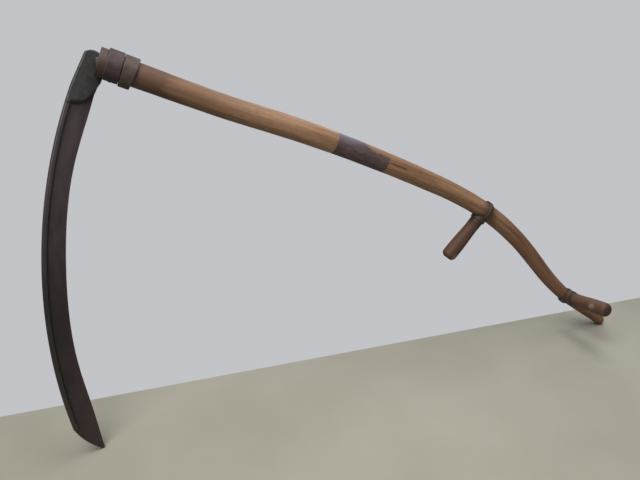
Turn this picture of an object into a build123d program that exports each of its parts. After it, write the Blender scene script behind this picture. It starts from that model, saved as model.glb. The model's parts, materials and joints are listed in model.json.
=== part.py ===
"""A long-handled mowing scythe with a bent ash snath, two screw-on nibs and a ribbed steel blade.

Everything is drawn in a bench frame first: the tool lies top side up, X runs along the snath's chord
from the heel end to the hand end, Y points across the snath away from the blade, Z points up from the
top side. At the end the tool is stood up, leaning, on its blade tip and the snath's hand end.
All lengths are in millimetres, all angles in degrees.
"""
from build123d import *
from math import cos, degrees, radians, sin
import os

# --- snath: the bent wooden shaft ---------------------------------------------------------------
snath_chord = 1453.0  # heel end to hand end in a straight line
lower_diameter = 48.0  # the straight lower run that carries the irons
straight_run = 190.0  # length of that run
straight_rise = 8.0  # angle of that run to the chord
hand_end_diameter = 28.0
end_chamfer = 1.5
# The bends, as (share of the chord, offset across, offset up, diameter). The last one is the end.
snath_bends = [
    (0.240, 56.5, 30.0, 48.0),
    (0.362, 83.5, 44.0, 46.5),
    (0.475, 100.5, 42.5, 45.0),
    (0.560, 108.5, 39.5, 43.0),
    (0.622, 106.0, 38.0, 42.0),
    (0.682, 94.5, 37.0, 41.5),
    (0.750, 69.5, 37.5, 40.0),
    (0.794, 48.5, 38.0, 38.5),
    (0.837, 30.0, 39.5, 36.5),
    (0.880, 17.0, 41.5, 35.0),
    (0.932, 9.0, 44.0, 33.0),
    (1.0, 0.0, 47.0, 28.0),
]
snath_sections = 28  # circles that the bent part is lofted through

# --- heel irons at the snath's lower end --------------------------------------------------------
seat_flat_depth = 6.0  # wood planed off the underside to seat the heel plate
heel_plate_start = 12.0
heel_plate_length = 80.0
heel_plate_width = 18.0
heel_plate_thickness = 3.0
screw_shank_diameter = 4.0
screw_head_diameter = 7.6
screw_head_depth = 1.9
screw_length = 16.0
screw_stations = (28.0, 84.0)  # from the snath's heel end
lip_length = 14.0  # the ferrule's thin lip, from the snath's end to its thick band
lip_wall = 2.6
band_length = 28.0
band_wall = 5.8
band_rise = 1.0  # the casting is this much thicker on its upper side
ferrule_edge_radius = 1.0
nail_diameter = 3.0
nail_head_diameter = 6.0
nail_head_height = 1.0
nail_length = 17.0
nail_angles = (-112.0, 112.0)  # round the ferrule, from straight up
ring_start = 42.8
ring_length = 26.5
ring_wall = 3.2
ring_slack = 1.1  # how much the ring's bore is larger than what it goes round, on the radius
ring_edge_radius = 1.0

# --- blade and tang ------------------------------------------------------------------------------
blade_length = 772.5  # chord from the heel's back corner to the tip
hang_angle = 80.9  # blade chord to snath, seen from above
tip_lift = 19.0  # tip raised above the snath's underside
lay_angle = 30.0  # blade's plane to the snath
heel_corner = (-22.5, 10.0, 8.5 - lower_diameter / 2)  # back corner of the heel, from the lower end
back_start = (58.0, -29.0)  # where the straight heel turns into the curved back
back_sag = 104.5  # deepest point of the back, out from the chord
clip_length = 64.5  # the blunt clipped end, along the chord
clip_width = 63.0
clip_bulge = 5.5
tip_radius = 2.2
# Width of the blade square to its back, as (share of the back's length, width).
blade_widths = [(0.075, 49.0), (0.20, 45.5), (0.52, 45.5), (0.80, 46.0), (0.985, 48.0)]
heel_thickness = 8.0
web_thickness = 2.2
rib_width = 7.5
rib_edge_radius = 1.2
heel_end_bulge = 4.5
heel_end_width = 29.5
tang_width = 16.0
tang_thickness = 6.5
tang_start = 10.0  # from the snath's lower end
tang_end = 76.0
tang_corner_radius = 2.0
tang_root_width = 26.0
tang_root_place = (21.0, 17.0)  # in the blade's own plane: along it, in from the chord
knob_diameter = 7.0
knob_station = 70.0
knob_height = 2.6

# --- nibs: the two turned handles ----------------------------------------------------------------
lower_nib_share = 0.6185  # place along the chord
upper_nib_share = 0.8836
lower_nib_turn = 92.0  # direction of the handle round the snath, from straight up
upper_nib_turn = -8.0
lower_nib_cant = -5.0  # shank leaning along the snath, towards the heel end when negative
upper_nib_cant = -1.0
loop_width = 10.0
loop_thickness = 3.6
loop_gap = 0.5  # loop and saddle stand this far off the wood
shank_diameter = 9.5
shank_length = 46.0  # beyond the loop
saddle_diameter = 36.0
saddle_base_diameter = 38.5
saddle_height = 8.0  # above the wood
saddle_reach = 7.0  # how far its wings reach down around the wood
shank_play = 0.05
grip_length = 115.0
grip_base_diameter = 31.5
grip_waist_diameter = 32.5
grip_swell_diameter = 36.5
grip_end_radius = 12.0
grip_bore_play = 0.6
grip_ferrule_length = 7.0
grip_ferrule_wall = 1.6
nut_across_flats = 15.0
nut_thickness = 9.0
nut_turn = 20.0  # its flats are not in line with the snath
nut_depth = 1.5  # the nut sits this far inside the grip's foot

# --- fits ----------------------------------------------------------------------------------------
close_fit = 0.05  # fixed pieces in their holes and seats
sliding_gap = 0.4  # pieces that move past each other
tang_fit = 0.2  # tang against heel plate and ferrule slot

wood_radius = lower_diameter / 2
seat_depth = wood_radius - seat_flat_depth
plate_face = seat_depth + heel_plate_thickness
tang_face = plate_face + tang_fit + tang_thickness

lower_end = Plane(
    origin=(0, 0, 0),
    x_dir=(cos(radians(straight_rise)), sin(radians(straight_rise)), 0),
    z_dir=(0, 0, 1),
)
blade_place = (
    lower_end.location
    * Pos(*heel_corner)
    * Rot(Y=lay_angle)
    * Rot(X=-tip_lift)
    * Rot(Z=-hang_angle)
)


def along_lower_end(distance):
    """Plane square to the straight run, looking up the snath, with local X across and local Y up."""
    return lower_end.location * Location(Plane(origin=(distance, 0, 0), x_dir=(0, 1, 0), z_dir=(1, 0, 0)))


def rod(diameter, start, length, centre=(0.0, 0.0)):
    """Round bar lying along the straight run."""
    bar = Pos(*centre, 0) * Cylinder(diameter / 2, length, align=(Align.CENTER, Align.CENTER, Align.MIN))
    return along_lower_end(start) * bar


# --- snath -----------------------------------------------------------------------------------------
def snath_path():
    """Centre line of the bent part, from the end of the straight run to the dome's centre."""
    run_end = lower_end.from_local_coords((straight_run, 0, 0))
    points = [run_end]
    for share, across, up, _ in snath_bends[:-1]:
        points.append(Vector(share * snath_chord, across, up))
    _, across, up, _ = snath_bends[-1]
    points.append(Vector(snath_chord - hand_end_diameter / 2, across, up))
    return Spline(*points, tangents=[lower_end.x_dir, Vector(1, -0.12, 0.02)])


path = snath_path()


def share_to_position(share):
    """Position along the centre line, 0 to 1, of the point at this share of the chord."""
    low, high = 0.0, 1.0
    for _ in range(40):
        middle = (low + high) / 2
        if (path @ middle).X < share * snath_chord:
            low = middle
        else:
            high = middle
    return low


def snath_diameter(x):
    """Diameter at a place along the chord, eased between the bends."""
    places = [(lower_end.from_local_coords((straight_run, 0, 0)).X, lower_diameter)]
    places += [(share * snath_chord, diameter) for share, _, _, diameter in snath_bends[:-1]]
    places.append((snath_chord - hand_end_diameter / 2, hand_end_diameter))
    if x <= places[0][0]:
        return lower_diameter
    for (x0, d0), (x1, d1) in zip(places, places[1:]):
        if x <= x1:
            return d0 + (d1 - d0) * (x - x0) / (x1 - x0)
    return hand_end_diameter


def snath_section(position):
    centre = path @ position
    plane = Plane(origin=centre, x_dir=(0, 0, 1), z_dir=path % position)
    return plane * Circle(snath_diameter(centre.X) / 2)


def make_snath():
    sections = [snath_section(k / (snath_sections - 1)) for k in range(snath_sections)]
    bent_part = loft(sections)
    straight_part = rod(lower_diameter, 0, straight_run)
    straight_part = chamfer(straight_part.edges().sort_by(Axis.X)[0], end_chamfer)
    dome = Pos(*(path @ 1)) * Sphere(hand_end_diameter / 2)
    wood = straight_part + bent_part + dome
    seat_length = heel_plate_start + heel_plate_length + close_fit
    seat = Pos(seat_length / 2, 0, -seat_depth - wood_radius / 2) * Box(
        seat_length, lower_diameter, wood_radius
    )
    wood -= lower_end.location * seat
    for station in screw_stations:
        wood -= screw(station, close_fit)
    for angle in nail_angles:
        wood -= nail(angle, close_fit)
    return wood


# --- heel irons --------------------------------------------------------------------------------------
def make_heel_plate():
    middle = heel_plate_start + heel_plate_length / 2
    plate = Pos(middle, 0, -seat_depth - heel_plate_thickness / 2) * Box(
        heel_plate_length, heel_plate_width, heel_plate_thickness
    )
    plate = fillet(plate.edges().filter_by(Axis.Z).sort_by(Axis.X)[-2:], heel_plate_width / 2 - 0.5)
    knob_hole = Pos(knob_station, 0, -seat_depth - heel_plate_thickness / 2) * Cylinder(
        knob_diameter / 2 + sliding_gap, 2 * heel_plate_thickness
    )
    plate = lower_end.location * (plate - knob_hole)
    for station in screw_stations:
        plate -= screw(station, close_fit)
    return plate


def screw(station, play=0.0):
    """Countersunk wood screw through the heel plate, or its hole when play is given."""
    shank = Pos(station, 0, -plate_face) * Cylinder(
        screw_shank_diameter / 2 + play, screw_length, align=(Align.CENTER, Align.CENTER, Align.MIN)
    )
    head = Pos(station, 0, -plate_face) * Cone(
        screw_head_diameter / 2 + play,
        screw_shank_diameter / 2 + play,
        screw_head_depth,
        align=(Align.CENTER, Align.CENTER, Align.MIN),
    )
    return lower_end.location * (shank + head)


def make_screws():
    slot = Box(screw_head_diameter, 0.9, 0.8)
    screws = []
    for station in screw_stations:
        cut = lower_end.location * Pos(station, 0, -plate_face) * Rot(Z=25) * slot
        screws.append(screw(station) - cut)
    return Compound(screws)


def tube(inner, outer, start, length, edge_radius, centre=(0.0, 0.0)):
    band = rod(2 * outer, start, length, centre) - rod(2 * inner, start - 1, length + 2, centre)
    rims = band.edges().filter_by(GeomType.CIRCLE).group_by(SortBy.RADIUS)[-1]
    return fillet(rims, edge_radius)


def make_end_ferrule():
    """Cast ferrule: thin lip at the end, thick band behind it, slotted underneath for the tang."""
    inner = wood_radius + close_fit
    lip = tube(inner, wood_radius + lip_wall, 0, lip_length + 1, ferrule_edge_radius)
    outside = wood_radius + band_wall
    band = rod(2 * outside, lip_length, band_length, (band_rise, 0))
    band = fillet(band.edges().filter_by(GeomType.CIRCLE), ferrule_edge_radius)
    ferrule = lip + (band - rod(2 * inner, lip_length - 1, band_length + 2))
    slot_width = heel_plate_width + 2 * tang_fit
    slot_length = 2 * (lip_length + band_length)
    slot = Pos(slot_length / 4, 0, -lower_diameter) * Box(slot_length, slot_width, 2 * lower_diameter)
    mouth_width = tang_root_width + 20
    mouth = Box(2 * tang_start + 2, mouth_width, lower_diameter, align=(Align.CENTER, Align.CENTER, Align.MAX))
    ferrule -= lower_end.location * slot
    ferrule -= lower_end.location * Pos(0, 0, -wood_radius * 0.6) * mouth
    for angle in nail_angles:
        ferrule -= nail(angle, close_fit)
    return ferrule


def nail(angle, play=0.0):
    """Nail through the ferrule's band into the wood, or its hole when play is given."""
    surface = wood_radius + band_wall + band_rise
    shank = Pos(0, 0, surface - nail_length) * Cylinder(
        nail_diameter / 2 + play, nail_length + play, align=(Align.CENTER, Align.CENTER, Align.MIN)
    )
    around = Pos(lip_length + band_length / 2, 0, 0) * Rot(X=angle)
    if play:
        return lower_end.location * around * shank
    head = Pos(0, 0, surface) * Cylinder(
        nail_head_diameter / 2, nail_head_height, align=(Align.CENTER, Align.CENTER, Align.MIN)
    )
    head = fillet(head.faces().sort_by(Axis.Z)[-1].edges(), 0.5)
    return lower_end.location * around * (shank + head)


def make_nails():
    return Compound([nail(angle) for angle in nail_angles])


def make_heel_ring():
    """Closed ring round wood, plate and tang, hanging a little low on its slack."""
    half_tang = tang_width / 2 - tang_corner_radius / 2
    reach = (tang_face**2 + half_tang**2 - wood_radius**2) / (2 * (wood_radius + tang_face))
    bore = wood_radius + reach + ring_slack
    drop = ring_slack - sliding_gap
    return tube(bore, bore + ring_wall, ring_start, ring_length, ring_edge_radius, (-drop, -reach))


# --- blade ---------------------------------------------------------------------------------------------
def back_line():
    """The curved back, one arc from the heel to the clipped corner."""
    corner = (blade_length - clip_length, -clip_width)
    return ThreePointArc(back_start, (0.54 * blade_length, -back_sag), corner)


def in_from_back(back, position, distance):
    """Point at this distance square to the back, towards the cutting edge."""
    tangent = back % position
    return back @ position + Vector(-tangent.Y, tangent.X, 0) * distance


def blade_outline():
    back = back_line()
    corner = back @ 1
    tip = Vector(blade_length, 0, 0)
    middle = (corner + tip) / 2
    outward = Vector(clip_width, -clip_length, 0).normalized()
    clip = ThreePointArc(corner, middle + outward * clip_bulge, tip)
    edge_points = [in_from_back(back, position, width) for position, width in blade_widths]
    edge = Spline(tip, *reversed(edge_points), Vector(25, heel_end_width + 3.5, 0))
    top_corner = Vector(2.0, heel_end_width, 0)
    heel_side = Line(edge @ 1, top_corner)
    heel_end = ThreePointArc(top_corner, (-heel_end_bulge, heel_end_width * 0.4), (0, 0))
    heel_back = Line((0, 0), back @ 0)
    face = make_face([heel_back, back, clip, edge, heel_side, heel_end])
    tip_corner = face.vertices().sort_by(Axis.X)[-1]
    return fillet(tip_corner, tip_radius)


def heel_pad_outline(outline):
    """The thick heel, which ends in a curved step a hand's width down the blade."""
    step = Spline((90, -60), (91, -24), (87, -6), (72, 12), (52, 30), (40, 60))
    region = make_face([step, Line(step @ 1, (-40, 60)), Line((-40, 60), (-40, -60)), Line((-40, -60), step @ 0)])
    return outline & region


def rib_outline():
    back = back_line()
    inner = ThreePointArc(*[in_from_back(back, position, rib_width) for position in (1, 0.5, 0)])
    return make_face([back, Line(back @ 1, inner @ 0), inner, Line(inner @ 1, back @ 0)])


def make_blade():
    outline = blade_outline()
    floor = -heel_thickness
    web = Pos(0, 0, floor) * extrude(outline, web_thickness)
    pad = Pos(0, 0, floor) * extrude(heel_pad_outline(outline), heel_thickness)
    rib = Pos(0, 0, floor) * extrude(rib_outline() & outline, heel_thickness)
    top = rib.faces().sort_by(Axis.Z)[-1]
    rib = fillet(top.edges().filter_by(GeomType.CIRCLE), rib_edge_radius)
    plate = blade_place * (web + pad + rib)
    root_along, root_across = tang_root_place
    root_plane = Plane(origin=(root_along, root_across, floor / 2), x_dir=(-1, 0, 0), z_dir=(0, 1, 0))
    root = blade_place * root_plane.location * Rectangle(tang_root_width, heel_thickness - 0.6)
    tang_middle = -(tang_face + plate_face + tang_fit) / 2
    start = along_lower_end(tang_start) * Pos(0, tang_middle, 0) * Rectangle(tang_width, tang_thickness)
    neck = loft([start, root])
    length = tang_end - tang_start
    tang = Pos(tang_start + length / 2, 0, tang_middle) * Box(length, tang_width, tang_thickness)
    tang = fillet(tang.edges().filter_by(Axis.X), tang_corner_radius)
    knob = Pos(knob_station, 0, -plate_face - tang_fit) * Cylinder(
        knob_diameter / 2, knob_height, align=(Align.CENTER, Align.CENTER, Align.MIN)
    )
    return plate + neck + lower_end.location * (tang + knob)


# --- nibs --------------------------------------------------------------------------------------------
def nib_place(share, turn, cant):
    """Frame of one nib: Z along the shank, Y across the snath, origin on the snath's centre line."""
    position = share_to_position(share)
    axis = path % position
    upright = Plane(origin=path @ position, x_dir=axis, z_dir=Vector(0, 0, 1).cross(axis).cross(axis) * -1)
    return upright.location * Rot(X=turn) * Rot(Y=cant)


def nib_radius(share):
    return snath_diameter(share * snath_chord) / 2


def upright_cylinder(diameter, base, height):
    bar = Cylinder(diameter / 2, height, align=(Align.CENTER, Align.CENTER, Align.MIN))
    return Pos(0, 0, base) * bar


def round_snath(diameter, length, cant):
    """Cylinder lying along the snath, seen from the nib's own frame."""
    return Rot(Y=90 - cant) * Cylinder(diameter / 2, length)


def make_loop(share, cant):
    """Forged eye round the snath with a threaded shank, drawn at its mean diameter."""
    inner = nib_radius(share) + loop_gap
    outer = inner + loop_thickness
    eye = round_snath(2 * outer, loop_width, cant) - round_snath(2 * inner, 2 * loop_width, cant)
    eye = fillet(eye.edges().filter_by(GeomType.CIRCLE).group_by(SortBy.RADIUS)[-1], loop_thickness * 0.45)
    shank = upright_cylinder(shank_diameter, inner + loop_thickness / 2, shank_length + loop_thickness / 2)
    shank = chamfer(shank.edges().group_by(Axis.Z)[-1], 1.0)
    return eye + shank


def make_saddle(share, cant):
    """Cast collar that bears on the wood on both sides of the loop and carries the grip's foot."""
    wood = nib_radius(share)
    top = wood + saddle_height
    base = wood - saddle_reach
    body = Pos(0, 0, base) * Cone(
        saddle_base_diameter / 2,
        saddle_diameter / 2,
        top - base,
        align=(Align.CENTER, Align.CENTER, Align.MIN),
    )
    body = fillet(body.edges().group_by(Axis.Z)[-1], 1.0)
    body -= round_snath(2 * (wood + loop_gap), 3 * saddle_base_diameter, cant)
    loop_room = wood + loop_gap + loop_thickness + sliding_gap
    body -= round_snath(2 * loop_room, loop_width + 2 * sliding_gap, cant)
    return body - upright_cylinder(shank_diameter + 2 * shank_play, 0, 2 * top)


def grip_foot(share):
    return nib_radius(share) + saddle_height


def make_grip_nut(share):
    """Square nut let into the grip's foot."""
    middle = grip_foot(share) + nut_depth + nut_thickness / 2
    block = Box(nut_across_flats, nut_across_flats, nut_thickness)
    block = Pos(0, 0, middle) * Rot(Z=nut_turn) * block
    block = chamfer(block.edges().group_by(Axis.Z)[-1], 0.8)
    return block - upright_cylinder(shank_diameter + 2 * shank_play, 0, 3 * grip_foot(share))


def make_grip(share):
    """Turned handle: necked foot inside its ferrule, swelling towards a rounded end."""
    neck = grip_base_diameter / 2 - grip_ferrule_wall
    waist = grip_waist_diameter / 2
    swell = grip_swell_diameter / 2
    shoulder = grip_ferrule_length + close_fit
    outline = Polyline((0, 0), (neck, 0), (neck, shoulder), (grip_base_diameter / 2, shoulder))
    side = Spline(
        outline @ 1,
        (waist, 0.28 * grip_length),
        (0.5 * (waist + swell) + 0.6, 0.6 * grip_length),
        (swell, grip_length - grip_end_radius),
        tangents=[(0, 1), (0, 1)],
    )
    cap = CenterArc((swell - grip_end_radius, grip_length - grip_end_radius), grip_end_radius, 0, 90)
    profile = make_face([outline, side, cap, Polyline(cap @ 1, (0, grip_length), (0, 0))])
    turned = revolve(Plane.XZ * profile, Axis.Z)
    grip = Pos(0, 0, grip_foot(share)) * turned
    depth = nib_radius(share) + loop_gap + loop_thickness + shank_length + 8 - grip_foot(share)
    grip -= upright_cylinder(shank_diameter + 2 * grip_bore_play, grip_foot(share), depth)
    pocket_height = nut_depth + nut_thickness + close_fit
    pocket_side = nut_across_flats + 2 * close_fit
    pocket = Pos(0, 0, grip_foot(share) + pocket_height / 2) * Rot(Z=nut_turn) * Box(
        pocket_side, pocket_side, pocket_height
    )
    return grip - pocket


def make_grip_ferrule(share):
    outer = grip_base_diameter / 2
    inner = outer - grip_ferrule_wall + close_fit
    band = upright_cylinder(2 * outer, grip_foot(share), grip_ferrule_length)
    band = fillet(band.edges().group_by(Axis.Z)[-1], 0.6)
    return band - upright_cylinder(2 * inner, grip_foot(share) - 1, grip_ferrule_length + 2)


def make_nib(name, share, turn, cant):
    """All the pieces of one nib, set at their place on the snath."""
    place = nib_place(share, turn, cant)
    pieces = {
        "loop": make_loop(share, cant),
        "saddle": make_saddle(share, cant),
        "grip": make_grip(share),
        "grip_ferrule": make_grip_ferrule(share),
        "grip_nut": make_grip_nut(share),
    }
    return {f"{name}_{piece}": place * solid for piece, solid in pieces.items()}


# --- the whole tool ----------------------------------------------------------------------------------
def standing(angle):
    """Turns the bench frame upright: its Z faces the room, its X runs down to the right."""
    slope = radians(angle)
    return Plane(origin=(0, 0, 0), x_dir=(cos(slope), 0, -sin(slope)), z_dir=(0, -1, 0)).location


def standing_angle(snath, blade):
    """Lean that brings the blade's tip and the snath's hand end to the same level."""
    angle = 30.0
    for _ in range(4):
        snath_box = (standing(angle) * snath).bounding_box()
        blade_box = (standing(angle) * blade).bounding_box()
        span = snath_box.max.X - blade_box.max.X
        angle += degrees((snath_box.min.Z - blade_box.min.Z) / span)
    return angle


parts = {
    "snath": make_snath(),
    "end_ferrule": make_end_ferrule(),
    "ferrule_nails": make_nails(),
    "heel_plate": make_heel_plate(),
    "heel_plate_screws": make_screws(),
    "heel_ring": make_heel_ring(),
    "blade": make_blade(),
}
parts.update(make_nib("lower_nib", lower_nib_share, lower_nib_turn, lower_nib_cant))
parts.update(make_nib("upper_nib", upper_nib_share, upper_nib_turn, upper_nib_cant))

stand = standing(standing_angle(parts["snath"], parts["blade"]))
box = Compound([stand * piece for piece in parts.values()]).bounding_box()
to_origin = Pos(-(box.min.X + box.max.X) / 2, -(box.min.Y + box.max.Y) / 2, -box.min.Z)

os.makedirs("parts", exist_ok=True)
for node, piece in parts.items():
    placed = to_origin * stand * piece
    export_step(placed, f"parts/{node}.step")
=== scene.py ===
"""A worn mowing scythe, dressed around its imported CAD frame.

Each piece's place is read from the frame: the straight lower run from the ring's joint and the wall
mount, the nibs from their joints, the snath's bends from its CAD mesh. Shapes are worked out in
millimetres in a piece's own frame and written to the meshes in metres in the row frame.
"""
import json
import math

import bpy
import numpy as np
from mathutils import Matrix, Vector, noise
from mathutils.bvhtree import BVHTree


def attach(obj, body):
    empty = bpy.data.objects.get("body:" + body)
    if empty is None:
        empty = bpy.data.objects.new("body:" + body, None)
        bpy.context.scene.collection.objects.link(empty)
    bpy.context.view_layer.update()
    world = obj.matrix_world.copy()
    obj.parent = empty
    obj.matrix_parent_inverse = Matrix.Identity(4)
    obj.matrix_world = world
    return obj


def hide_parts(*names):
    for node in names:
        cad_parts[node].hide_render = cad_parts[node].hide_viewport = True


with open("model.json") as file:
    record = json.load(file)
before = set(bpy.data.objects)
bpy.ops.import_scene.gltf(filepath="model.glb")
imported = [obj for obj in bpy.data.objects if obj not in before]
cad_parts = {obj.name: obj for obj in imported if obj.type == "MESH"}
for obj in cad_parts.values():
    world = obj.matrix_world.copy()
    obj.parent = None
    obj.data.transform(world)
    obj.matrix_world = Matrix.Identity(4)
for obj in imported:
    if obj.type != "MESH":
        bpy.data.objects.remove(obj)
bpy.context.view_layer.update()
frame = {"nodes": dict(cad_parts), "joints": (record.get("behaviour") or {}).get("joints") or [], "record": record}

MM = 0.001
joints = {j["name"]: j for j in frame["joints"]}
mounts = {m["name"]: m for m in frame["record"]["mounts"]}

# Sizes that the shapes below share with the CAD parts, in millimetres and degrees.
WOOD_RADIUS = 24.0  # of the snath's straight lower run
STRAIGHT_RUN = 190.0
END_CHAMFER = 1.5
END_RADIUS = 14.0  # of the dome at the hand end
SEAT_DEPTH = 18.0  # from the centre line down to the flat that carries the heel plate
SEAT_LENGTH = 92.0
PLATE_THICKNESS = 3.0
HEEL_CORNER = (-22.5, 10.0, -15.5)  # the blade's back corner, in the straight run's frame
HANG, LIFT, LAY = 80.9, 19.0, 30.0  # the blade's turns in that frame
TIP = (772.5, 0.0)  # this and the places below are in the blade's own plane
BACK_START = (58.0, -29.0)  # where the straight heel turns into the curved back
BACK_MIDDLE = (0.54 * TIP[0], -104.5)
CLIP = (64.5, 63.0)  # the blunt clipped end, along the chord and across it
BACK_END = (TIP[0] - CLIP[0], -CLIP[1])
CLIP_BULGE = 5.5
TIP_RADIUS = 2.2
HEEL_TOP = (2.0, 29.5)
HEEL_SHOULDER = (25.0, 33.0)
HEEL_BULGE = 4.5
HEEL_THICKNESS = 8.0
WEB_THICKNESS = 2.2
PAD_STEP = [(90, -60), (91, -24), (87, -6), (72, 12), (52, 30), (40, 60)]
# Width of the blade square to its back, as (share of the back's length, width).
EDGE_WIDTHS = [(0.075, 49.0), (0.20, 45.5), (0.52, 45.5), (0.80, 46.0), (0.985, 48.0)]
TANG = (16.0, 6.5)  # width and thickness
TANG_ENDS = (10.0, 76.0)  # from the snath's heel end
TANG_CORNER = 2.0
TANG_FIT = 0.2  # between the tang and the heel plate
TANG_ROOT = (26.0, 7.2)  # width and thickness where it runs into the heel
TANG_ROOT_PLACE = (21.0, 17.0)
GRIP_LENGTH = 115.0
GRIP_RADII = (15.75, 16.25, 18.25)  # at the base, the waist and the swell
GRIP_END = 12.0  # radius of the rounded end
BAND_WALL, BAND_LENGTH = 1.6, 7.0  # the grip's iron ferrule
BORE_RADIUS, BORE_DEPTH = 5.3, 49.5  # for the nib's shank
POCKET_RADIUS, POCKET_DEPTH = 10.75, 10.6  # for the nut

# What only the dressed model has.
HEEL_RUN = 64.0  # distance along the back that the straight heel counts as
CLIP_RUN = 60.0  # the same for the clipped end
PAINTED = (476.0, 603.5)  # the worn painted band round the snath, from the heel end
# Knots and dents: place along the snath, angle round it from the room side in radians, size, height.
KNOTS = [
    (232.0, -0.4, 5.0, 0.25),
    (388.0, 1.3, 6.0, -0.35),
    (640.0, 0.35, 4.0, -0.45),
    (862.0, -0.3, 7.0, 0.35),
    (1012.0, 0.9, 6.0, 0.45),
    (1150.0, -0.7, 8.0, -0.4),
    (1236.0, 0.5, 5.0, 0.4),
]
PIT_DEPTH = 0.25  # of the rust pits in cast and forged irons
BUMP_DEPTH = 0.0004  # metres, of the finest relief in every material


# --- frames ---
def frame_at(origin, x, z):
    """Matrix from millimetres in a frame with these axes to metres in the row frame."""
    z = Vector(z).normalized()
    x = Vector(x)
    x = (x - z * x.dot(z)).normalized()
    y = z.cross(x)
    return Matrix([[x[i] * MM, y[i] * MM, z[i] * MM, origin[i]] for i in range(3)] + [[0, 0, 0, 1]])


def moved(matrix, points):
    """The points, taken through this matrix."""
    m = np.array(matrix)
    return np.asarray(points, float) @ m[:3, :3].T + m[:3, 3]


def turn(degrees, axis):
    return Matrix.Rotation(math.radians(degrees), 4, axis)


run_x = Vector(joints["heel_ring_slide"]["axis"])
run_z = -Vector(mounts["wall_rest"]["axis"])
run_origin = Vector(mounts["wall_rest"]["pos_m"]) + run_z * WOOD_RADIUS * MM
RUN = frame_at(run_origin, run_x, run_z)
BLADE = RUN @ Matrix.Translation(HEEL_CORNER) @ turn(LAY, "Y") @ turn(-LIFT, "X") @ turn(-HANG, "Z")
NIBS = {
    nib: frame_at(
        joints[f"{nib}_nib_turn"]["pos_m"],
        joints[f"{nib}_nib_turn"]["axis"],
        joints[f"{nib}_nib_release"]["axis"],
    )
    for nib in ("lower", "upper")
}


# --- mesh helpers ---
def new_object(name, data):
    made = bpy.data.objects.new(name, data)
    bpy.context.scene.collection.objects.link(made)
    return made


def new_piece(name, points, faces, attributes):
    """A smooth-shaded mesh object in the row frame, with its named point attributes."""
    mesh = bpy.data.meshes.new(name)
    mesh.from_pydata([tuple(p) for p in points], [], faces)
    mesh.update()
    set_attributes(mesh, attributes)
    shade_smooth(mesh)
    return new_object(name, mesh)


def shade_smooth(mesh):
    mesh.polygons.foreach_set("use_smooth", [True] * len(mesh.polygons))


def set_attributes(mesh, attributes):
    for name, values in attributes.items():
        values = np.asarray(values, np.float32)
        kind, field = ("FLOAT_VECTOR", "vector") if values.ndim == 2 else ("FLOAT", "value")
        mesh.attributes.new(name, kind, "POINT").data.foreach_set(field, values.ravel())


def tube_faces(rings, around):
    """Quads of a tube of rings, closed by a fan to one centre point at each end."""
    faces = []
    for i in range(rings - 1):
        for k in range(around):
            k1 = (k + 1) % around
            faces.append((i * around + k, (i + 1) * around + k, (i + 1) * around + k1, i * around + k1))
    first_centre, last_ring = rings * around, (rings - 1) * around
    for k in range(around):
        k1 = (k + 1) % around
        faces.append((first_centre, k, k1))
        faces.append((first_centre + 1, last_ring + k1, last_ring + k))
    return faces


def tube_points(rings):
    """Rings as one list of points, with the centres of the first and the last added for the fans."""
    rings = np.asarray(rings, float)
    flat = rings.reshape(-1, rings.shape[-1])
    return np.vstack([flat, rings[0].mean(0), rings[-1].mean(0)])


def tube(name, matrix, rings, attributes):
    """Closed piece through these rings; an attribute has one row of values per ring point."""
    points = moved(matrix, tube_points(rings))
    shaped = {key: tube_points(value) for key, value in attributes.items()}
    shaped = {key: v[:, 0] if v.shape[1] == 1 else v for key, v in shaped.items()}
    piece = new_piece(name, points, tube_faces(len(rings), len(rings[0])), shaped)
    face_outward(piece.data)
    return piece


def face_outward(mesh):
    """Turns a closed mesh's faces outward if they face in."""
    mesh.calc_loop_triangles()
    corners = np.array([[mesh.vertices[v].co for v in t.vertices] for t in mesh.loop_triangles])
    volume = np.einsum("ij,ij->i", corners[:, 0], np.cross(corners[:, 1], corners[:, 2])).sum()
    if volume < 0:
        mesh.flip_normals()


def read_vectors(mesh, name):
    """A vector property of the mesh's points, such as their places or normals."""
    values = np.zeros(len(mesh.vertices) * 3)
    mesh.vertices.foreach_get(name, values)
    return values.reshape(-1, 3)


def settle(piece):
    """Replaces the piece's mesh by the one its modifiers give."""
    bpy.context.view_layer.update()
    made = bpy.data.meshes.new_from_object(piece.evaluated_get(bpy.context.evaluated_depsgraph_get()))
    piece.modifiers.clear()
    old, piece.data = piece.data, made
    bpy.data.meshes.remove(old)
    shade_smooth(made)


def join_solid(piece, other):
    """Unites other with piece in one closed mesh and removes other."""
    union = piece.modifiers.new("union", "BOOLEAN")
    union.operation = "UNION"
    union.solver = "EXACT"
    union.object = other
    settle(piece)
    bpy.data.objects.remove(other)


# --- curves and noise ---
def smoothstep(low, high, value):
    t = np.clip((np.asarray(value, float) - low) / (high - low), 0, 1)
    return t * t * (3 - 2 * t)


def bell(value, middle, reach):
    """1 at the middle, falling off smoothly to both sides."""
    return np.exp(-(((value - middle) / reach) ** 2))


def wobble(points, scale, seed):
    """Smooth noise from -1 to 1 at each point, at this scale."""
    shift = Vector((seed * 17.3, seed * 5.1, seed * 9.7))
    scale = np.asarray(scale, float) * np.ones(3)
    return np.array([noise.noise(Vector(p * scale) + shift) for p in np.asarray(points, float)])


def unit_vector(vector):
    return vector / np.linalg.norm(vector)


def full_circle(count):
    """Cosines and sines of this many even steps round a circle."""
    angles = np.arange(count) * math.tau / count
    return np.cos(angles), np.sin(angles)


def nearest(line, place):
    """Index of the polyline's point nearest to this place."""
    return int(np.argmin(np.linalg.norm(line - place, axis=1)))


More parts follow.
